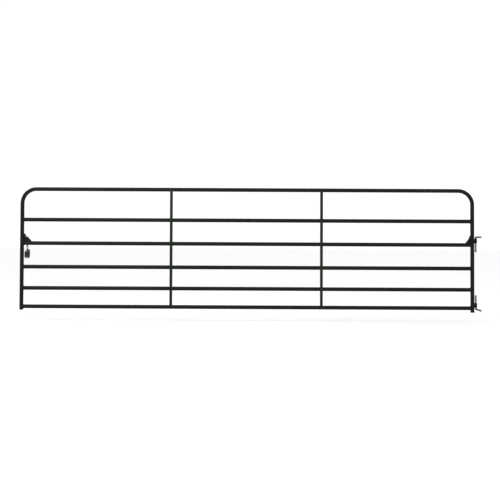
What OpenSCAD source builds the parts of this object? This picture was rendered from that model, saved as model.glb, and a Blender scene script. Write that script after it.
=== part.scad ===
// Six-rail farm gate: a welded tube leaf that swings on two screw hooks,
// with a latch chain folded and tied below its third rail.
// +X runs along the gate, +Z is up, and the leaf hangs behind the post face at Y = 0.
// The origin is on the lower hook's shank, where it enters the post.

/* [Leaf] */
// Distance between the two uprights' centre lines
upright_spacing = 4785; // [3000:5:5500]
// Outer diameter of the tube
tube_d = 41.3; // [34:0.1:50]
// Wall thickness of the tube
tube_wall = 0.91; // [0.8:0.01:2.5]
// Centre-line radius of the two bent top corners
corner_r = 150; // [110:1:180]
// Heights of the rails above the lowest one, from the top down
rail_heights = [1245, 920, 670, 420, 195, 0]; // [0:1:1300]
// How far the latch upright reaches below the lowest rail
latch_tail = 14; // [8:1:30]
// How far the hinge upright reaches below the lowest rail
hinge_tail = 25; // [8:1:30]

/* [Braces] */
// Width of a brace's flat front
brace_w = 29; // [24:0.5:36]
// Sheet thickness of a brace
brace_t = 1.6; // [1.2:0.1:2.5]
// Depth of a brace's two flanges
brace_depth = 20; // [16:1:20]
// How far the braces stand from the leaf's thirds, towards the latch
brace_shift = 9; // [0:1:30]

/* [Gussets] */
// Plate thickness of the gussets
gusset_t = 4.8; // [3:0.1:6.4]
// Width of the latch gusset along the rail
latch_gusset_w = 78; // [72:1:100]
// Height of the latch gusset along the upright
latch_gusset_h = 82; // [74:1:100]
// Width of the slot that the chain drops into
chain_slot_w = 6.5; // [6:0.5:9]
// Width of the hinge gusset along the rail
hinge_gusset_w = 50; // [45:1:80]
// Height of the hinge gusset along the upright
hinge_gusset_h = 80; // [70:1:100]

/* [Hinges] */
// Diameter of the hooks' rod
rod_d = 19; // [15:0.5:19.5]
// Distance from the post face to the hinge axis
hook_reach = 45; // [40:1:60]
// Length of a hook's shank inside the post
shank_l = 150; // [110:1:180]
// Length of the tapered screw tip at the shank's end
tip_l = 24; // [15:1:35]
// Centre-line radius of a hook's elbow
elbow_r = 16; // [14:1:20]
// Straight length of the lower hook's upright pin
lower_pin_l = 132; // [100:1:160]
// Straight length of the upper hook's hanging pin
upper_pin_l = 144; // [100:1:160]
// Height of a hinge eye
eye_h = 48; // [40:1:60]
// Strap thickness of a hinge eye
eye_t = 5; // [4:0.5:6]
// Gap all round between a pin and its eye
eye_gap = 0.4; // [0.3:0.05:1]

/* [Chain] */
// Wire diameter of a chain link
link_d = 5.5; // [5.3:0.1:5.7]
// Inner length of a chain link
link_inner_l = 22; // [21.5:0.1:23]
// Inner width of a chain link
link_inner_w = 8.5; // [8.3:0.1:9]
// Number of links in a full strand of the folded chain
strand_links = 4; // [4:2:4]
// Distance from the latch upright's centre to the chain staple
staple_out = 57; // [56:1:70]
// Wire diameter of the staple
staple_d = 6; // [5:0.5:7]
// Height of the gap between the staple and the rail
staple_gap = 12; // [11:0.5:16]

/* [Hidden] */
$fn = 96;
weld_gap = 0.15;
tube_r = tube_d / 2;
bore_r = tube_r - tube_wall;
rod_r = rod_d / 2;

// Where the leaf hangs
rest_gap = 1;
eye_above_rail = 7;
eye_r = rod_r + eye_gap;
hinge_x = -(eye_r + 5 + tube_r);
latch_x = hinge_x - upright_spacing;
bottom_z = elbow_r + rest_gap - eye_above_rail;
rail_z = [for (h = rail_heights) bottom_z + h];
latch_rail_z = rail_z[2];
top_z = rail_z[0];

// Hinges: the lower eye rests over the lower elbow, and the upper hook hangs the other way up
lower_eye_z = bottom_z + eye_above_rail;
upper_eye_z = latch_rail_z + 18;
upper_shank_z = upper_eye_z + eye_h + rest_gap + elbow_r;

// Braces stand in front of the rails, near the thirds of the leaf
third = upright_spacing / 3;
brace_x = [latch_x + third - brace_shift, latch_x + 2 * third - brace_shift];
brace_front = hook_reach - tube_r - weld_gap - brace_t;
brace_over = 6;

// Gussets stand in the corners above the third rail
plate_off = tube_r + weld_gap;
gusset_nose = 7;
chain_slot_out = 44;
chain_slot_up = 44;

// Chain: each link stands off the next by a small gap
link_gap = 0.3;
link_r = link_d / 2;
bend_r = (link_inner_w + link_d) / 2;
link_end = (link_inner_l + link_d) / 2;
link_pitch = link_inner_l - link_gap;
turn_lift = link_d + 0.5;
staple_r = staple_d / 2;
staple_bend_r = staple_r + 7;
staple_x = latch_x + staple_out;
staple_z = latch_rail_z - tube_r - staple_gap - staple_r;
link_1_z = staple_z + staple_r + link_r + link_gap - link_end;
link_2_z = link_1_z - link_pitch;
neck_end_z = link_2_z - link_end;

// Folded bundle: four strands at the corners of a square, leaning until they hang true
// and turned a little about the neck
fold = 2 * link_end;
front_y = -bend_r;
back_y = front_y + fold;
fold_top_z = neck_end_z + turn_lift;
strand_top_z = fold_top_z + turn_lift - link_end;
strand_bottom_z = strand_top_z - (strand_links - 1) * link_pitch;
fold_bottom_z = strand_bottom_z - link_end + turn_lift;
hang_tilt = -9.5;
hang_turn = 4;
tie_h = 60;
tie_drop = 4;
tie_t = 1.6;
tie_slack = 0.35;
tie_corner_r = 7;
tie_z = (strand_top_z + strand_bottom_z) / 2 - tie_drop;

paint = [0.13, 0.16, 0.13];
zinc = [0.5, 0.51, 0.49];
chain_steel = [0.27, 0.28, 0.27];

// ---- Tubes ----

module ring_outline() {
    difference() {
        circle(r = tube_r);
        circle(r = bore_r);
    }
}

module tube(length) {
    linear_extrude(height = length) ring_outline();
}

// A tube along X from x_from to x_to, at height z in the leaf's plane
module rail_tube(x_from, x_to, z) {
    translate([x_from, hook_reach, z]) rotate([0, 90, 0]) tube(x_to - x_from);
}

// An upright with its bent top corner, drawn at X = 0 with the corner turning towards +X
module bent_upright(tail) {
    foot_z = bottom_z - tube_r - tail;
    bend_z = top_z - corner_r;
    translate([0, hook_reach, foot_z]) tube(bend_z - foot_z);
    translate([corner_r, hook_reach, bend_z])
        rotate([90, 0, 0])
            rotate([0, 0, 90])
                rotate_extrude(angle = 90)
                    translate([corner_r, 0]) ring_outline();
}

// The space that both uprights take, with the gap that a weld fills
module upright_space() {
    for (x = [latch_x, hinge_x])
        translate([x, hook_reach, bottom_z - 100])
            cylinder(r = tube_r + weld_gap, h = top_z);
}

module rail(number) {
    color(paint)
        difference() {
            rail_tube(latch_x, hinge_x, rail_z[number - 1]);
            upright_space();
        }
}

module top_rail() {
    butt = corner_r + weld_gap;
    color(paint) rail_tube(latch_x + butt, hinge_x - butt, top_z);
}

module latch_upright() {
    color(paint) translate([latch_x, 0, 0]) bent_upright(latch_tail);
}

module hinge_upright() {
    color(paint) translate([hinge_x, 0, 0]) mirror([1, 0, 0]) bent_upright(hinge_tail);
}

// ---- Braces ----

// A channel whose flat front lies on the rails, with its flanges cut round each one
module brace(x) {
    low_z = bottom_z - brace_over;
    high_z = top_z + brace_over;
    color(paint)
        difference() {
            translate([x, brace_front, low_z])
                linear_extrude(height = high_z - low_z)
                    difference() {
                        translate([-brace_w / 2, 0]) square([brace_w, brace_depth]);
                        translate([-brace_w / 2 + brace_t, brace_t])
                            square([brace_w - 2 * brace_t, brace_depth]);
                    }
            for (z = rail_z)
                translate([x - brace_w, hook_reach, z])
                    rotate([0, 90, 0])
                        cylinder(r = tube_r + weld_gap, h = 2 * brace_w);
        }
}

// ---- Gussets ----

// Stands a plate, drawn in the X and Y directions, upright in the corner above the third rail
module corner_plate() {
    translate([0, hook_reach + gusset_t / 2, latch_rail_z + plate_off])
        rotate([90, 0, 0])
            linear_extrude(height = gusset_t) children();
}

module latch_gusset() {
    slot_x = chain_slot_out - plate_off;
    slot_r = chain_slot_w / 2;
    color(paint)
        translate([latch_x + plate_off, 0, 0])
            corner_plate()
                difference() {
                    polygon([
                        [0, 0],
                        [latch_gusset_w, 0],
                        [latch_gusset_w, gusset_nose],
                        [gusset_nose, latch_gusset_h],
                        [0, latch_gusset_h]
                    ]);
                    translate([slot_x, chain_slot_up + slot_r]) circle(r = slot_r);
                    translate([slot_x - slot_r, chain_slot_up + slot_r])
                        square([chain_slot_w, latch_gusset_h]);
                }
}

// The sloping edge is a shallow arc that hollows the plate towards its corner
module hinge_gusset() {
    w = hinge_gusset_w - gusset_nose;
    h = hinge_gusset_h - gusset_nose;
    hollow = 7;
    chord = sqrt(w * w + h * h);
    arc_r = (chord * chord / 4 + hollow * hollow) / (2 * hollow);
    out = arc_r - hollow;
    color(paint)
        translate([hinge_x - plate_off, 0, 0])
            mirror([1, 0, 0])
                corner_plate()
                    difference() {
                        polygon([
                            [0, 0],
                            [hinge_gusset_w, 0],
                            [hinge_gusset_w, gusset_nose],
                            [gusset_nose, hinge_gusset_h],
                            [0, hinge_gusset_h]
                        ]);
                        translate([
                            gusset_nose + w / 2 + out * h / chord,
                            gusset_nose + h / 2 + out * w / chord
                        ])
                            circle(r = arc_r);
                    }
}

// ---- Hinges ----

// A strap bent round the pin, with both its ends coped to the hinge upright
module hinge_eye(z) {
    strap_r = eye_r + eye_t;
    color(paint)
        difference() {
            translate([0, hook_reach, z])
                linear_extrude(height = eye_h)
                    difference() {
                        union() {
                            circle(r = strap_r);
                            translate([hinge_x, -strap_r]) square([-hinge_x, 2 * strap_r]);
                        }
                        circle(r = eye_r);
                        translate([hinge_x - 1, -eye_r]) square([1 - hinge_x, 2 * eye_r]);
                    }
            upright_space();
        }
}

// An L-shaped screw hook: a shank along -Y, an elbow, and a pin that stands up from it
module screw_hook(pin_l) {
    body_l = shank_l - tip_l;
    tip_r = 1.5;
    chamfer = 2;
    straight_l = hook_reach - elbow_r;
    color(zinc) {
        translate([0, straight_l, 0]) rotate([90, 0, 0]) cylinder(r = rod_r, h = straight_l + body_l);
        translate([0, -body_l, 0]) rotate([90, 0, 0]) cylinder(r1 = rod_r, r2 = tip_r, h = tip_l);
        translate([0, straight_l, elbow_r])
            rotate([90, 0, 90])
                rotate([0, 0, -90])
                    rotate_extrude(angle = 90)
                        translate([elbow_r, 0]) circle(r = rod_r);
        translate([0, hook_reach, elbow_r]) cylinder(r = rod_r, h = pin_l - chamfer);
        translate([0, hook_reach, elbow_r + pin_l - chamfer])
            cylinder(r1 = rod_r, r2 = rod_r - chamfer, h = chamfer);
    }
}

module lower_hook() {
    screw_hook(lower_pin_l);
}

module upper_hook() {
    translate([0, 0, upper_shank_z]) mirror([0, 0, 1]) screw_hook(upper_pin_l);
}

// ---- Chain ----

// A U of round wire whose two legs are coped to the underside of the third rail
module chain_staple() {
    color(paint)
        difference() {
            translate([staple_x, hook_reach, staple_z + staple_bend_r])
                rotate([90, 0, 90]) {
                    rotate([0, 0, 180])
                        rotate_extrude(angle = 180)
                            translate([staple_bend_r, 0]) circle(r = staple_r);
                    for (side = [-1, 1])
                        translate([side * staple_bend_r, 0, 0])
                            rotate([-90, 0, 0]) cylinder(r = staple_r, h = staple_bend_r);
                }
            translate([staple_x - staple_d, hook_reach, latch_rail_z])
                rotate([0, 90, 0])
                    cylinder(r = tube_r + weld_gap, h = 2 * staple_d);
        }
}

// A chain link about the origin, long along Z and flat in the XZ plane
module chain_link() {
    side_l = link_inner_l - link_inner_w;
    color(chain_steel) {
        for (side = [-1, 1])
            translate([side * bend_r, 0, -side_l / 2]) cylinder(r = link_r, h = side_l);
        for (end = [0, 1])
            mirror([0, 0, end])
                translate([0, 0, side_l / 2])
                    rotate([90, 0, 0])
                        rotate_extrude(angle = 180)
                            translate([bend_r, 0]) circle(r = link_r);
    }
}

// The four ways that a link lies in the chain
module wide_link(p) {
    translate(p) chain_link();
}

module edge_link(p) {
    translate(p) rotate([0, 0, 90]) chain_link();
}

module cross_turn(p) {
    translate(p) rotate([90, 0, 0]) rotate([0, 90, 0]) chain_link();
}

module depth_turn(p) {
    translate(p) rotate([0, 0, 90]) rotate([90, 0, 0]) rotate([0, 90, 0]) chain_link();
}

module at_staple() {
    translate([staple_x, hook_reach, 0]) children();
}

// Leans the folded bundle about the neck's lower bend, so that it hangs below the neck,
// and turns it about the neck
module hung() {
    at_staple()
        translate([0, 0, neck_end_z + bend_r])
            rotate([0, 0, hang_turn])
                rotate([hang_tilt, 0, 0])
                    translate([0, 0, -neck_end_z - bend_r]) children();
}

// One link of a strand: a strand starts wide at its top, and its links take turns
module strand_link(x, y, step) {
    p = [x, y, strand_top_z - step * link_pitch];
    if (step % 2 == 0) wide_link(p);
    else edge_link(p);
}

module bundle_link(number) {
    n = number - 4;
    round_l = strand_links + 1;
    strand = floor(n / round_l);
    step = n % round_l;
    side_x = strand < 2 ? link_end : -link_end;
    side_y = strand == 0 || strand == 3 ? front_y : back_y;
    down = strand % 2 == 0;
    hung()
        if (number == 3)
            cross_turn([0, front_y, fold_top_z]);
        else if (step < strand_links)
            strand_link(side_x, side_y, down ? step : strand_links - 1 - step);
        else if (down)
            depth_turn([side_x, (front_y + back_y) / 2, fold_bottom_z]);
        else
            cross_turn([0, back_y, fold_top_z]);
}

module chain_link_at(number) {
    if (number == 1) at_staple() wide_link([0, 0, link_1_z]);
    else if (number == 2) at_staple() edge_link([0, 0, link_2_z]);
    else bundle_link(number);
}

// A flat band round all four strands
module chain_tie() {
    half = link_end + bend_r + link_r + tie_slack;
    color([0.12, 0.12, 0.12])
        hung()
            translate([0, (front_y + back_y) / 2, tie_z - tie_h / 2])
                linear_extrude(height = tie_h)
                    difference() {
                        rounded_square(half + tie_t, tie_corner_r + tie_t);
                        rounded_square(half, tie_corner_r);
                    }
}

module rounded_square(half, r) {
    flat = half - r;
    square([2 * half, 2 * flat], center = true);
    square([2 * flat, 2 * half], center = true);
    for (x = [-flat, flat])
        for (y = [-flat, flat])
            translate([x, y]) circle(r = r);
}

top_rail();
latch_upright();
hinge_upright();
rail(2);  // rail_2
rail(3);  // rail_3
rail(4);  // rail_4
rail(5);  // rail_5
rail(6);  // rail_6
brace(brace_x[0]);  // brace_left
brace(brace_x[1]);  // brace_right
latch_gusset();
hinge_gusset();
hinge_eye(upper_eye_z);  // upper_hinge_eye
hinge_eye(lower_eye_z);  // lower_hinge_eye
upper_hook();
lower_hook();
chain_staple();
chain_link_at(1);  // chain_link_01
chain_link_at(2);  // chain_link_02
chain_link_at(3);  // chain_link_03
chain_link_at(4);  // chain_link_04
chain_link_at(5);  // chain_link_05
chain_link_at(6);  // chain_link_06
chain_link_at(7);  // chain_link_07
chain_link_at(8);  // chain_link_08
chain_link_at(9);  // chain_link_09
chain_link_at(10);  // chain_link_10
chain_link_at(11);  // chain_link_11
chain_link_at(12);  // chain_link_12
chain_link_at(13);  // chain_link_13
chain_link_at(14);  // chain_link_14
chain_link_at(15);  // chain_link_15
chain_link_at(16);  // chain_link_16
chain_link_at(17);  // chain_link_17
chain_link_at(18);  // chain_link_18
chain_link_at(19);  // chain_link_19
chain_link_at(20);  // chain_link_20
chain_link_at(21);  // chain_link_21
chain_tie();
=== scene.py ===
import math

import bmesh
import bpy
from mathutils import Matrix, Vector


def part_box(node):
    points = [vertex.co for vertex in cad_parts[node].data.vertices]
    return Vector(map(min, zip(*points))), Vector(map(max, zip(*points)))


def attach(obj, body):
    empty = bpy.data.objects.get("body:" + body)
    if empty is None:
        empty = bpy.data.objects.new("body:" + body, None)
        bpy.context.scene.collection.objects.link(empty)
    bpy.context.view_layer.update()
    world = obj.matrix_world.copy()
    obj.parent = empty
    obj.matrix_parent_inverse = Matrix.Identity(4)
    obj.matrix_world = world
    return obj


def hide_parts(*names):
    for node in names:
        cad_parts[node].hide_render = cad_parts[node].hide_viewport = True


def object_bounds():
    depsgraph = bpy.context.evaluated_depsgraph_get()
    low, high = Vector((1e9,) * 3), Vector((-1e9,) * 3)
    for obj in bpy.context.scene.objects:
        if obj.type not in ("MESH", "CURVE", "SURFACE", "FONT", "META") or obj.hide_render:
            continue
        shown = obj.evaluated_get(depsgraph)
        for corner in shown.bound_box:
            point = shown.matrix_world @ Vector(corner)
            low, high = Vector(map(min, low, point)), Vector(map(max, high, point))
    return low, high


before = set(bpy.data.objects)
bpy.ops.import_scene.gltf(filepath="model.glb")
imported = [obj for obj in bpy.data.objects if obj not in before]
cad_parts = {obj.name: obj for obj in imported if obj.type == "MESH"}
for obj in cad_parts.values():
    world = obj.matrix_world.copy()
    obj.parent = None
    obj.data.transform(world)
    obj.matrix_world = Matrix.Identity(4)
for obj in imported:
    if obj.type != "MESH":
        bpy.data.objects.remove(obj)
cad_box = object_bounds()

MM = 0.001
X, Y, Z = Vector((1, 0, 0)), Vector((0, 1, 0)), Vector((0, 0, 1))


# ---------------------------------------------------------------- shader maths

class Socket:
    """A shader value that can be used in Python expressions."""

    def __init__(self, shader, socket):
        self.shader = shader
        self.socket = socket

    def _math(self, operation, *values):
        return self.shader.node("ShaderNodeMath", {"operation": operation}, dict(enumerate(values)))

    def __add__(self, other):
        return self._math("ADD", self, other)

    def __radd__(self, other):
        return self._math("ADD", other, self)

    def __mul__(self, other):
        return self._math("MULTIPLY", self, other)

    def __rmul__(self, other):
        return self._math("MULTIPLY", other, self)

    def clipped(self):
        return self._math("MINIMUM", self._math("MAXIMUM", self, 0.0), 1.0)

    def step(self, low, high):
        """0 below low, 1 above high, and smooth between them."""
        return self.shader.node(
            "ShaderNodeMapRange",
            {"interpolation_type": "SMOOTHSTEP"},
            {"Value": self, "From Min": low, "From Max": high, "To Min": 0.0, "To Max": 1.0},
            "Result",
        )


class Shader:
    """A material's node tree, with one way to add a node."""

    def __init__(self, name):
        self.material = bpy.data.materials.new(name)
        self.material.use_nodes = True
        self.tree = self.material.node_tree
        self.tree.nodes.clear()
        self.place = self.node("ShaderNodeTexCoord", {}, {}, "Object")

    def node(self, kind, settings, values, output=0):
        made = self.tree.nodes.new(kind)
        for key, value in settings.items():
            setattr(made, key, value)
        for key, value in values.items():
            target = made.inputs[key]
            if isinstance(value, Socket):
                self.tree.links.new(value.socket, target)
            else:
                target.default_value = value
        return Socket(self, made.outputs[output]) if made.outputs else None

    def noise(self, scale, detail=2.0, roughness=0.5, stretch=None):
        vector = self.place if stretch is None else self.stretched(stretch)
        return self.node(
            "ShaderNodeTexNoise",
            {},
            {"Vector": vector, "Scale": scale, "Detail": detail, "Roughness": roughness},
            "Fac",
        )

    def cell_colours(self, scale):
        values = {"Vector": self.place, "Scale": scale}
        return self.node("ShaderNodeTexVoronoi", {}, values, "Color")

    def stretched(self, scale):
        return self.node("ShaderNodeMapping", {}, {"Vector": self.place, "Scale": scale})

    def mix(self, factor, low, high):
        made = self.tree.nodes.new("ShaderNodeMix")
        made.data_type = "RGBA"
        for index, value in ((0, factor), (6, low), (7, high)):
            if isinstance(value, Socket):
                self.tree.links.new(value.socket, made.inputs[index])
            else:
                made.inputs[index].default_value = value
        return Socket(self, made.outputs[2])

    def bump(self, height, distance):
        values = {"Height": height, "Distance": distance, "Strength": 1.0}
        return self.node("ShaderNodeBump", {}, values)

    def facing_up(self):
        """The upward part of the surface's normal."""
        normal = self.node("ShaderNodeNewGeometry", {}, {}, "Normal")
        return self.node("ShaderNodeSeparateXYZ", {}, {"Vector": normal}, "Z")

    def finish(self, **values):
        surface = self.node(
            "ShaderNodeBsdfPrincipled",
            {},
            {key.replace("_", " "): value for key, value in values.items()},
        )
        self.node("ShaderNodeOutputMaterial", {"is_active_output": True}, {"Surface": surface})
        return self.material


def tone(red, green, blue):
    return (red, green, blue, 1.0)


# ---------------------------------------------------------------- finishes

def powder_coat(name, roughness=0.42, film=0.00016, painted_light_gain=1.0):
    """Dark green powder coat: fine orange peel, slow changes of tone and a little settled dust.

    The gain brightens all its tones. Above 1 it paints light into the colour, which makes a lit copy of
    the same paint.
    """
    def shade(red, green, blue):
        return tone(red * painted_light_gain, green * painted_light_gain, blue * painted_light_gain)

    s = Shader(name)
    drift = s.noise(1.7, 3.0)
    mottle = s.noise(38.0, 4.0, 0.6)
    deep, pale = shade(0.0040, 0.0063, 0.0040), shade(0.0056, 0.0085, 0.0053)
    green = s.mix(drift.step(0.35, 0.65), deep, pale)
    green = s.mix(mottle.step(0.45, 0.8) * 0.35, green, shade(0.0085, 0.0115, 0.0078))
    dust = s.facing_up().step(0.55, 1.0) * s.noise(9.0, 5.0, 0.65).step(0.35, 0.75)
    green = s.mix(dust * 0.08, green, tone(0.16, 0.15, 0.12))
    peel = s.noise(420.0, 2.0, 0.4)
    waves = s.noise(120.0, 1.0)
    return s.finish(
        Base_Color=green,
        Roughness=(roughness - 0.06 + mottle * 0.10 + dust * 0.25).clipped(),
        Specular_IOR_Level=0.1,
        Normal=s.bump(peel * 0.6 + waves * 0.8, film),
    )


def zinc_plate(name):
    """Dull zinc over rolled rod: a faint spangle, darker stains and fine marks along the rod."""
    s = Shader(name)
    spangle = s.cell_colours(160.0)
    grain = s.node("ShaderNodeSeparateColor", {}, {"Color": spangle}, "Red")
    stain = s.noise(22.0, 5.0, 0.65)
    marks = s.noise(90.0, 3.0, 0.6, (1.0, 0.12, 0.12))
    metal = s.mix(grain * 0.5, tone(0.125, 0.130, 0.120), tone(0.185, 0.190, 0.178))
    metal = s.mix(stain.step(0.5, 0.78) * 0.6, metal, tone(0.060, 0.060, 0.052))
    return s.finish(
        Base_Color=metal,
        Metallic=0.85,
        Roughness=(0.36 + grain * 0.08 + stain * 0.16).clipped(),
        Normal=s.bump(marks + grain * 0.3, 0.00008),
    )


def chain_zinc(name):
    """Dark galvanised chain, dulled where the links rub."""
    s = Shader(name)
    stain = s.noise(55.0, 5.0, 0.6)
    grit = s.noise(900.0, 2.0)
    metal = s.mix(stain.step(0.35, 0.7), tone(0.028, 0.029, 0.027), tone(0.062, 0.064, 0.059))
    return s.finish(
        Base_Color=metal,
        Metallic=0.6,
        Roughness=(0.42 + stain * 0.22).clipped(),
        Normal=s.bump(grit + stain, 0.00005),
    )


def wound_tape(name):
    """Black cloth tape in overlapping turns: a step at each edge, a fine weave and some scuffs."""
    s = Shader(name)
    edges = s.node(
        "ShaderNodeTexWave",
        {"wave_type": "BANDS", "bands_direction": "Z", "wave_profile": "SAW"},
        {"Vector": s.place, "Scale": 26.0, "Distortion": 0.4},
        "Fac",
    )
    weave = s.noise(1500.0, 2.0)
    scuff = s.noise(140.0, 4.0, 0.6)
    creases = s.noise(60.0, 3.0, 0.5, (1.0, 1.0, 0.35))
    black, worn = tone(0.008, 0.008, 0.0085), tone(0.026, 0.026, 0.026)
    return s.finish(
        Base_Color=s.mix(scuff.step(0.5, 0.8) * 0.4, black, worn),
        Roughness=(0.5 + scuff * 0.2).clipped(),
        Specular_IOR_Level=0.2,
        Normal=s.bump(edges * 0.4 + creases * 1.4 + weave * 0.1, 0.0006),
    )


PAINT = powder_coat("gate_paint")
WELD_PAINT = powder_coat("weld_paint", roughness=0.36, film=0.0001)
# Painted highlight: the braces carry the gate's own paint brightened 1.8 times, a lit copy of it that
# stands in for light falling on the braces.
LIT_BRACE_PAINT = powder_coat("brace_paint_lit_copy", roughness=0.46, painted_light_gain=1.8)
ZINC = zinc_plate("hook_zinc")
CHAIN = chain_zinc("chain_steel")
TAPE = wound_tape("tie_tape")


# ---------------------------------------------------------------- making pieces

def piece(name, bm, material, body, smooth_deg=50.0):
    """A finished mesh that rides on a body, with its place in its mesh."""
    bmesh.ops.recalc_face_normals(bm, faces=bm.faces)
    mesh = bpy.data.meshes.new(name)
    bm.to_mesh(mesh)
    bm.free()
    mesh.shade_smooth()
    mesh.set_sharp_from_angle(angle=math.radians(smooth_deg))
    mesh.materials.append(material)
    made = bpy.data.objects.new(name, mesh)
    bpy.context.scene.collection.objects.link(made)
    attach(made, body)
    return made


def turned_to(direction, side=None):
    """A turn that takes +Z to a direction, and +X near to a side."""
    along = direction.normalized()
    side = side or (X if abs(along.x) < 0.9 else Y)
    across = (side - along * side.dot(along)).normalized()
    return Matrix((across, along.cross(across), along)).transposed().to_4x4()


def sweep(bm, points, radii, sides, side=None, closed=False):
    """A round bar that follows points, one ring at each, made by extruding its first ring."""
    count = len(points)

    def direction(i):
        if closed:
            return points[(i + 1) % count] - points[i - 1]
        return points[min(i + 1, count - 1)] - points[max(i - 1, 0)]

    def ring_place(i):
        return Matrix.Translation(points[i]) @ turned_to(direction(i), side)

    made = bmesh.ops.create_circle(bm, cap_ends=False, radius=1.0, segments=sides)
    ring = made["verts"]
    bmesh.ops.transform(bm, verts=ring, matrix=ring_place(0) @ Matrix.Scale(radii[0], 4))
    edges = [e for e in bm.edges if e.verts[0] in ring and e.verts[1] in ring]
    first = list(edges)
    for i in range(1, count):
        grown = bmesh.ops.extrude_edge_only(bm, edges=edges)["geom"]
        ring = [g for g in grown if isinstance(g, bmesh.types.BMVert)]
        edges = [g for g in grown if isinstance(g, bmesh.types.BMEdge)]
        growth = Matrix.Scale(radii[i] / radii[i - 1], 4)
        step = ring_place(i) @ growth @ ring_place(i - 1).inverted()
        bmesh.ops.transform(bm, verts=ring, matrix=step)
    if closed:
        bmesh.ops.bridge_loops(bm, edges=first + edges)
    else:
        for end in (first, edges):
            bmesh.ops.contextual_create(bm, geom=end)


def bead(bm, points, size, pitch=2.6 * MM, side=None, closed=False, sides=8):
    """A weld bead along points, which swells and sinks with each ripple."""
    length = 0.0
    radii = []
    for i, point in enumerate(points):
        length += (point - points[i - 1]).length if i else 0.0
        ripple = abs(math.sin(math.pi * length / pitch))
        radii.append(size * (0.9 + 0.18 * ripple))
    if not closed:
        radii[0] *= 0.55
        radii[-1] *= 0.55
    sweep(bm, points, radii, sides, side, closed)


def line(start, end, step=0.9 * MM):
    """Points from start to end, a weld ripple's third apart."""
    count = max(2, round((end - start).length / step))
    return [start.lerp(end, i / count) for i in range(count + 1)]


def arc(centre, across, up, radius, start, end, count):
    """Points on an arc, from one angle to another in degrees."""
    turns = [math.radians(start + (end - start) * i / count) for i in range(count + 1)]
    return [centre + across * (radius * math.cos(t)) + up * (radius * math.sin(t)) for t in turns]


# ---------------------------------------------------------------- the frame's own sizes

upright_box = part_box("hinge_upright")
latch_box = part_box("latch_upright")
rails = ["rail_2", "rail_3", "rail_4", "rail_5", "rail_6"]
tube_r = (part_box("top_rail")[1].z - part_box("top_rail")[0].z) / 2
leaf_y = (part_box("top_rail")[1].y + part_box("top_rail")[0].y) / 2
hinge_x = upright_box[1].x - tube_r
latch_x = latch_box[0].x + tube_r
rail_z = {name: (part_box(name)[0].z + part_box(name)[1].z) / 2 for name in ["top_rail", *rails]}


# ---------------------------------------------------------------- welds

def coped_joint(upright_x, toward, z):
    """The closed line on which a rail's end meets an upright of the same size."""
    points = []
    count = 140
    gap = 0.6 * MM
    ring_r = tube_r + 0.8 * MM
    for i in range(count):
        turn = 2 * math.pi * i / count
        y = ring_r * math.cos(turn)
        reach = math.sqrt(max(ring_r ** 2 - y * y, 0.0)) + gap
        place = (upright_x + toward * reach, leaf_y + y, z + ring_r * math.sin(turn))
        points.append(Vector(place))
    return points


def rail_welds():
    """The saddle-shaped welds at both ends of each rail."""
    for name, upright_x, toward in (
        ("rail_welds_latch", latch_x, 1),
        ("rail_welds_hinge", hinge_x, -1),
    ):
        bm = bmesh.new()
        for rail in rails:
            bead(bm, coped_joint(upright_x, toward, rail_z[rail]), 1.9 * MM, side=X, closed=True)
        piece(name, bm, WELD_PAINT, "gate_leaf")


def corner_seams():
    """The ring welds where the top rail butts against the bent corners."""
    low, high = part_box("top_rail")
    for name, x in (("corner_seam_latch", low.x), ("corner_seam_hinge", high.x)):
        bm = bmesh.new()
        centre = Vector((x, leaf_y, rail_z["top_rail"]))
        ring = arc(centre, Y, Z, tube_r - 1.1 * MM, 0, 360, 150)[:-1]
        bead(bm, ring, 2.3 * MM, side=X, closed=True)
        piece(name, bm, WELD_PAINT, "gate_leaf")


def brace_welds():
    """Short fillets where each brace's flanges sit round each rail."""
    for name in ("brace_left", "brace_right"):
        low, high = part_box(name)
        bm = bmesh.new()
        for z in rail_z.values():
            centre = Vector((0, leaf_y, z))
            for x in (low.x, high.x):
                points = arc(centre + X * x, Y, Z, tube_r + 0.5 * MM, 180 - 68, 180 - 10, 26)
                bead(bm, points, 1.5 * MM, side=X)
                points = arc(centre + X * x, Y, Z, tube_r + 0.5 * MM, 180 + 10, 180 + 68, 26)
                bead(bm, points, 1.5 * MM, side=X)
        piece(name + "_welds", bm, WELD_PAINT, "gate_leaf")


def gusset_welds():
    """Fillets on both faces of each gusset, along the upright and along the rail."""
    size = 1.9 * MM
    start_gap = 5 * MM
    end_gap = 3 * MM
    for name, toward in (("latch_gusset", 1), ("hinge_gusset", -1)):
        low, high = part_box(name)
        corner_x = low.x if toward > 0 else high.x
        far_x = high.x if toward > 0 else low.x
        bm = bmesh.new()
        for y in (low.y, high.y):
            foot = Vector((corner_x + toward * 0.5 * MM, y, low.z + 0.4 * MM))
            top_end = Vector((foot.x, y, high.z - end_gap))
            bead(bm, line(foot + Z * start_gap, top_end), size)
            far_end = Vector((far_x - toward * end_gap, y, foot.z))
            bead(bm, line(foot + X * toward * start_gap, far_end), size)
        piece(name + "_welds", bm, WELD_PAINT, "gate_leaf")


def eye_welds():
    """Upright fillets along both ends of each hinge strap."""
    end_gap = 2 * MM
    bm = bmesh.new()
    for name in ("upper_hinge_eye", "lower_hinge_eye"):
        low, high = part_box(name)
        for y in (low.y, high.y):
            reach = math.sqrt(tube_r ** 2 - (y - leaf_y) ** 2)
            x = hinge_x + reach + 0.6 * MM
            foot = Vector((x, y, low.z + end_gap))
            head = Vector((x, y, high.z - end_gap))
            bead(bm, line(foot, head), 2.4 * MM)
    piece("hinge_eye_welds", bm, WELD_PAINT, "gate_leaf")


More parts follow.
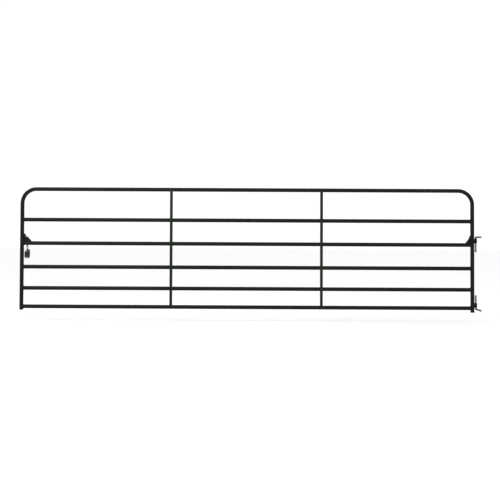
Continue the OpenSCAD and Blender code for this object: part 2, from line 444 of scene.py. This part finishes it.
def staple_welds():
    """A small ring where each leg of the staple meets the rail."""
    low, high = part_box("chain_staple")
    wire_r = (high.x - low.x) / 2
    centre_x = (low.x + high.x) / 2
    bm = bmesh.new()
    for y in (low.y + wire_r, high.y - wire_r):
        drop = math.sqrt(tube_r ** 2 - (y - leaf_y) ** 2)
        centre = Vector((centre_x, y, rail_z["rail_3"] - drop - 0.3 * MM))
        slope = Vector((0, (y - leaf_y) / drop, 0))
        ring = []
        for point in arc(centre, X, Y, wire_r + 0.7 * MM, 0, 360, 36)[:-1]:
            ring.append(point + Z * slope.y * (point.y - y))
        bead(bm, ring, 1.3 * MM, side=Z, closed=True)
    piece("staple_welds", bm, WELD_PAINT, "gate_leaf")


# ---------------------------------------------------------------- screw hooks

def thread_ridge(bm, start_y, end_y, tip_y, root_r, crest_r, pitch, sides=28):
    """A helical ridge round the Y axis, narrowing with the tip beyond tip_y."""
    turns = (start_y - end_y) / pitch
    steps = int(turns * sides)
    foot = pitch * 0.38
    top = pitch * 0.07
    outline = [(root_r, foot), (crest_r, top), (crest_r, -top), (root_r, -foot)]
    verts = [bm.verts.new((r, start_y + dy, 0)) for r, dy in outline]
    edges = [bm.edges.new((verts[i], verts[i + 1])) for i in range(3)]
    edges.append(bm.edges.new((verts[3], verts[0])))
    bmesh.ops.spin(
        bm,
        geom=verts + edges,
        cent=(0, 0, 0),
        axis=(0, 1, 0),
        dvec=(0, -pitch / sides, 0),
        angle=turns * 2 * math.pi,
        steps=steps,
        use_duplicate=False,
    )
    bmesh.ops.remove_doubles(bm, verts=bm.verts, dist=1e-7)
    for v in bm.verts:
        fade_in = min(1.0, max(0.0, (start_y - v.co.y) / (2 * pitch)))
        taper = min(1.0, max(0.12, (v.co.y - end_y) / (tip_y - end_y)))
        reach = math.hypot(v.co.x, v.co.z)
        wanted = min(reach, root_r) + max(0.0, reach - root_r) * fade_in
        scale = wanted * taper / reach
        v.co.x *= scale
        v.co.z *= scale
    bmesh.ops.holes_fill(bm, edges=[e for e in bm.edges if e.is_boundary], sides=0)


def screw_hook(name, node, upside_down):
    """A bent rod with a rolled thread on its shank.

    It is made with its pin up, then turned over for the upper hook.
    """
    low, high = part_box(node)
    rod_r = (high.x - low.x) / 2
    pin_y = high.y - rod_r
    shank_z = high.z - rod_r if upside_down else low.z + rod_r
    pin_top = high.z - low.z - rod_r
    elbow_r = 16 * MM
    tip_l = 24 * MM
    thread_l = 98 * MM
    root_r = rod_r - 1.6 * MM
    thread_start = low.y + thread_l
    tip_y = low.y + tip_l
    thread_pitch = 5.1 * MM

    bm = bmesh.new()
    chamfer = 2 * MM
    points = [Vector((0, pin_y, pin_top - down)) for down in (0, 0.5 * MM, chamfer)]
    radii = [rod_r - chamfer, rod_r - 1.4 * MM, rod_r]
    points.append(Vector((0, pin_y, elbow_r + 2 * MM)))
    radii.append(rod_r)
    for point in arc(Vector((0, pin_y - elbow_r, elbow_r)), Y, Z, elbow_r, 0, -90, 14):
        points.append(point)
        radii.append(rod_r)
    for y, r in (
        (thread_start + 6 * MM, rod_r),
        (thread_start + 1 * MM, rod_r),
        (thread_start - 3 * MM, root_r + 0.1 * MM),
        (tip_y, root_r + 0.1 * MM),
        (low.y + 2 * MM, 1.0 * MM),
        (low.y, 0.3 * MM),
    ):
        points.append(Vector((0, y, 0)))
        radii.append(r)
    sweep(bm, points, radii, 36, side=X)
    ridge = bmesh.new()
    thread_ridge(ridge, thread_start, low.y + 2 * MM, tip_y, root_r, rod_r, thread_pitch)
    joined = bpy.data.meshes.new("thread")
    ridge.to_mesh(joined)
    ridge.free()
    bm.from_mesh(joined)
    bpy.data.meshes.remove(joined)
    place = Matrix.Translation((0, 0, shank_z))
    if upside_down:
        place = place @ Matrix.Scale(-1, 4, Z)
    bmesh.ops.transform(bm, verts=bm.verts, matrix=place)
    made = piece(name, bm, ZINC, "post_hooks", smooth_deg=40.0)
    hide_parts(node)


# ---------------------------------------------------------------- chain

def widest_spread(spread, steps=40):
    """The direction along which points spread the most, from their 3 x 3 spread matrix."""
    direction = Vector((0.53, 0.61, 0.59))
    for _ in range(steps):
        direction = (spread @ direction).normalized()
    return direction


def link_directions(node):
    """A link's centre, with its long and wide directions as vectors to its outer faces."""
    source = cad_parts[node]
    spots = [source.matrix_world @ v.co for v in source.data.vertices]
    centre = sum(spots, Vector()) / len(spots)
    spread = Matrix(((0, 0, 0), (0, 0, 0), (0, 0, 0)))
    for spot in spots:
        arm = spot - centre
        spread += Matrix([[arm[i] * arm[j] for j in range(3)] for i in range(3)])
    long_way = widest_spread(spread)
    share = long_way.dot(spread @ long_way)
    spread -= Matrix([[share * long_way[i] * long_way[j] for j in range(3)] for i in range(3)])
    wide_way = widest_spread(spread)
    flat_way = long_way.cross(wide_way)
    half_width = max((spot - centre).dot(wide_way) for spot in spots)
    wire_r = max((spot - centre).dot(flat_way) for spot in spots)
    return centre, long_way, wide_way, half_width, wire_r


def link_flashes(name, numbers, body):
    """The thin ring that a butt weld leaves round one leg of each link."""
    bm = bmesh.new()
    for number in numbers:
        centre, long_way, wide_way, half_width, wire_r = link_directions(f"chain_link_{number:02d}")
        seam = centre + wide_way * (half_width - wire_r)
        flat_way = long_way.cross(wide_way)
        ring = arc(seam, wide_way, flat_way, wire_r, 0, 360, 24)[:-1]
        sweep(bm, ring, [0.45 * MM] * len(ring), 6, side=long_way, closed=True)
    piece(name, bm, CHAIN, body)


# ---------------------------------------------------------------- the wrap

def tape_turn(bm, half, corner_r, width, place):
    """One turn of tape round the four strands: drawn in at both edges, and between the strands."""
    made = bmesh.ops.create_grid(bm, x_segments=1, y_segments=1, size=half)
    corners = made["verts"]
    bmesh.ops.bevel(
        bm,
        geom=corners,
        offset=corner_r,
        offset_type="OFFSET",
        affect="VERTICES",
        segments=7,
        profile=0.5,
        material=-1,
    )
    sheet = bm.faces[:]
    edges = list({edge for face in sheet for edge in face.edges})
    sides = [edge for edge in edges if edge.calc_length() > half]
    bmesh.ops.subdivide_edges(bm, edges=sides, cuts=9)
    outline = list({edge for face in sheet for edge in face.edges})
    turn_verts = list({v for edge in outline for v in edge.verts})
    bmesh.ops.delete(bm, geom=sheet, context="FACES_ONLY")
    bmesh.ops.translate(bm, verts=turn_verts, vec=(0, 0, -width / 2))
    levels = 8
    edge_pull = 0.030
    side_pull = 0.035
    for _ in range(levels):
        grown = bmesh.ops.extrude_edge_only(bm, edges=outline)["geom"]
        ring = [g for g in grown if isinstance(g, bmesh.types.BMVert)]
        outline = [g for g in grown if isinstance(g, bmesh.types.BMEdge)]
        bmesh.ops.translate(bm, verts=ring, vec=(0, 0, width / levels))
        turn_verts += ring
    for v in turn_verts:
        towards_edge = abs(v.co.z) / (width / 2)
        towards_corner = min(abs(v.co.x), abs(v.co.y)) / half
        drawn_in = 1 - edge_pull * towards_edge ** 4 - side_pull * (1 - towards_corner) ** 2
        v.co.x *= drawn_in
        v.co.y *= drawn_in
    bmesh.ops.transform(bm, verts=turn_verts, matrix=place)


def wound_wrap():
    """Overlapping turns of tape, each a little askew, in place of the plain band."""
    low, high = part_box("chain_tie")
    hang_turn = Matrix.Rotation(math.radians(4.0), 4, "Z")
    hang_tilt = Matrix.Rotation(math.radians(-9.5), 4, "X")
    hung = Matrix.Translation((low + high) / 2) @ hang_turn @ hang_tilt
    half, corner_r, width = 24.5 * MM, 8.0 * MM, 19.0 * MM
    layer = 0.22 * MM
    # Each turn's height in mm, then how far it is askew and which way, in degrees
    turns = (
        (-20.0, 1.5, 40),
        (19.5, -2.0, 100),
        (-10.5, 2.5, 160),
        (10.0, -1.5, 20),
        (-0.5, 3.0, 80),
    )
    bm = bmesh.new()
    for i, (height, askew, heading) in enumerate(turns):
        place = hung @ Matrix.Translation((0, 0, height * MM))
        axis = Vector((math.cos(math.radians(heading)), math.sin(math.radians(heading)), 0))
        place = place @ Matrix.Rotation(math.radians(askew), 4, axis)
        one = bmesh.new()
        tape_turn(one, half + layer * i, corner_r, width, place)
        turn = bpy.data.meshes.new("turn")
        one.to_mesh(turn)
        one.free()
        bm.from_mesh(turn)
        bpy.data.meshes.remove(turn)
    bmesh.ops.recalc_face_normals(bm, faces=bm.faces)
    bmesh.ops.solidify(bm, geom=bm.faces[:], thickness=0.5 * MM)
    made = piece("chain_wrap", bm, TAPE, "chain_bundle", smooth_deg=45.0)
    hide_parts("chain_tie")


# ---------------------------------------------------------------- eased edges

def eased(node, body, finish, width):
    """A copy of a CAD node whose sharp edges are rounded off, which takes its place."""
    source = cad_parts[node]
    bm = bmesh.new()
    bm.from_mesh(source.data)
    bmesh.ops.transform(bm, verts=bm.verts, matrix=source.matrix_world)
    bmesh.ops.remove_doubles(bm, verts=bm.verts, dist=0.001 * MM)
    bmesh.ops.dissolve_limit(
        bm,
        angle_limit=math.radians(1.0),
        use_dissolve_boundaries=False,
        verts=bm.verts,
        edges=bm.edges,
    )
    sharp = [e for e in bm.edges if e.is_manifold and e.calc_face_angle(0.0) > math.radians(35)]
    bmesh.ops.bevel(
        bm,
        geom=sharp,
        offset=width,
        offset_type="OFFSET",
        affect="EDGES",
        segments=2,
        profile=0.5,
        material=-1,
        clamp_overlap=True,
    )
    made = piece(node + "_eased", bm, finish, body, smooth_deg=32.0)
    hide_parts(node)


def eased_parts():
    for node in ("brace_left", "brace_right"):
        # The braces take the lit copy of the gate paint, which is a painted highlight.
        eased(node, "gate_leaf", LIT_BRACE_PAINT, 0.45 * MM)
    for node in ("latch_gusset", "hinge_gusset", "upper_hinge_eye", "lower_hinge_eye"):
        eased(node, "gate_leaf", PAINT, 0.7 * MM)


def carried_finishes():
    """The CAD nodes that stay keep their shape and get their finish."""
    for name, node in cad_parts.items():
        if name.startswith("chain_link"):
            finish = CHAIN
        elif name == "chain_tie":
            finish = TAPE
        elif name.endswith("_hook"):
            finish = ZINC
        else:
            finish = PAINT
        node.data.materials.clear()
        node.data.materials.append(finish)


# ---------------------------------------------------------------- stage

def pale_floor(level):
    """A wide pale floor under the gate."""
    bm = bmesh.new()
    bmesh.ops.create_grid(bm, x_segments=1, y_segments=1, size=60.0)
    bmesh.ops.translate(bm, verts=bm.verts, vec=(0, 0, level))
    mesh = bpy.data.meshes.new("floor")
    bm.to_mesh(mesh)
    bm.free()
    floor = bpy.data.objects.new("floor", mesh)
    bpy.context.scene.collection.objects.link(floor)
    s = Shader("pale_floor")
    speck = s.noise(3.0, 3.0)
    white = s.mix(speck, tone(0.90, 0.90, 0.90), tone(0.93, 0.93, 0.93))
    mesh.materials.append(s.finish(Base_Color=white, Roughness=0.9, Specular_IOR_Level=0.1))


def soft_lamp(name, place, target, size, power):
    """A round area lamp that faces its target."""
    lamp = bpy.data.lights.new(name, "AREA")
    lamp.shape = "DISK"
    lamp.size = size
    lamp.energy = power
    made = bpy.data.objects.new(name, lamp)
    bpy.context.scene.collection.objects.link(made)
    made.location = place
    made.rotation_euler = (Vector(target) - Vector(place)).to_track_quat("-Z", "Y").to_euler()


def studio(centre):
    """Even white light all round, with one soft key lamp above and to the left."""
    world = bpy.data.worlds.new("studio")
    bpy.context.scene.world = world
    world.use_nodes = True
    back = world.node_tree.nodes["Background"]
    back.inputs["Color"].default_value = tone(1.0, 1.0, 1.0)
    back.inputs["Strength"].default_value = 1.06
    soft_lamp("key", centre + Vector((-3.0, -5.0, 5.0)), centre, 3.0, 260.0)
    bpy.context.scene.view_settings.view_transform = "Standard"


def camera(centre):
    """A low camera in front of the leaf, tilted up a little, whose frame is shifted back down to it."""
    distance = 7.65
    pitch = math.radians(1.3)
    roll = math.radians(0.26)
    data = bpy.data.cameras.new("camera")
    data.sensor_width = 36.0
    data.lens = 51.8
    height = 0.11
    drop = pitch + math.atan(height / distance)
    data.shift_y = -math.tan(drop) * data.lens / data.sensor_width
    made = bpy.data.objects.new("camera", data)
    bpy.context.scene.collection.objects.link(made)
    aim = centre + Vector((0.030, 0, -0.003))
    made.location = aim + Vector((0, -distance, height))
    made.rotation_euler = (math.pi / 2 + pitch, -roll, 0)
    bpy.context.scene.camera = made


foot_clearance = 0.11
leaf_centre = Vector(((hinge_x + latch_x) / 2, leaf_y, (cad_box[0].z + cad_box[1].z) / 2))
carried_finishes()
rail_welds()
corner_seams()
brace_welds()
gusset_welds()
eye_welds()
staple_welds()
screw_hook("lower_hook_threaded", "lower_hook", False)
screw_hook("upper_hook_threaded", "upper_hook", True)
link_flashes("upper_neck_flash", [1], "chain_neck_upper")
link_flashes("lower_neck_flash", [2], "chain_neck_lower")
link_flashes("bundle_flashes", range(3, 22), "chain_bundle")
eased_parts()
wound_wrap()
pale_floor(cad_box[0].z - foot_clearance)
studio(leaf_centre)
camera(leaf_centre)
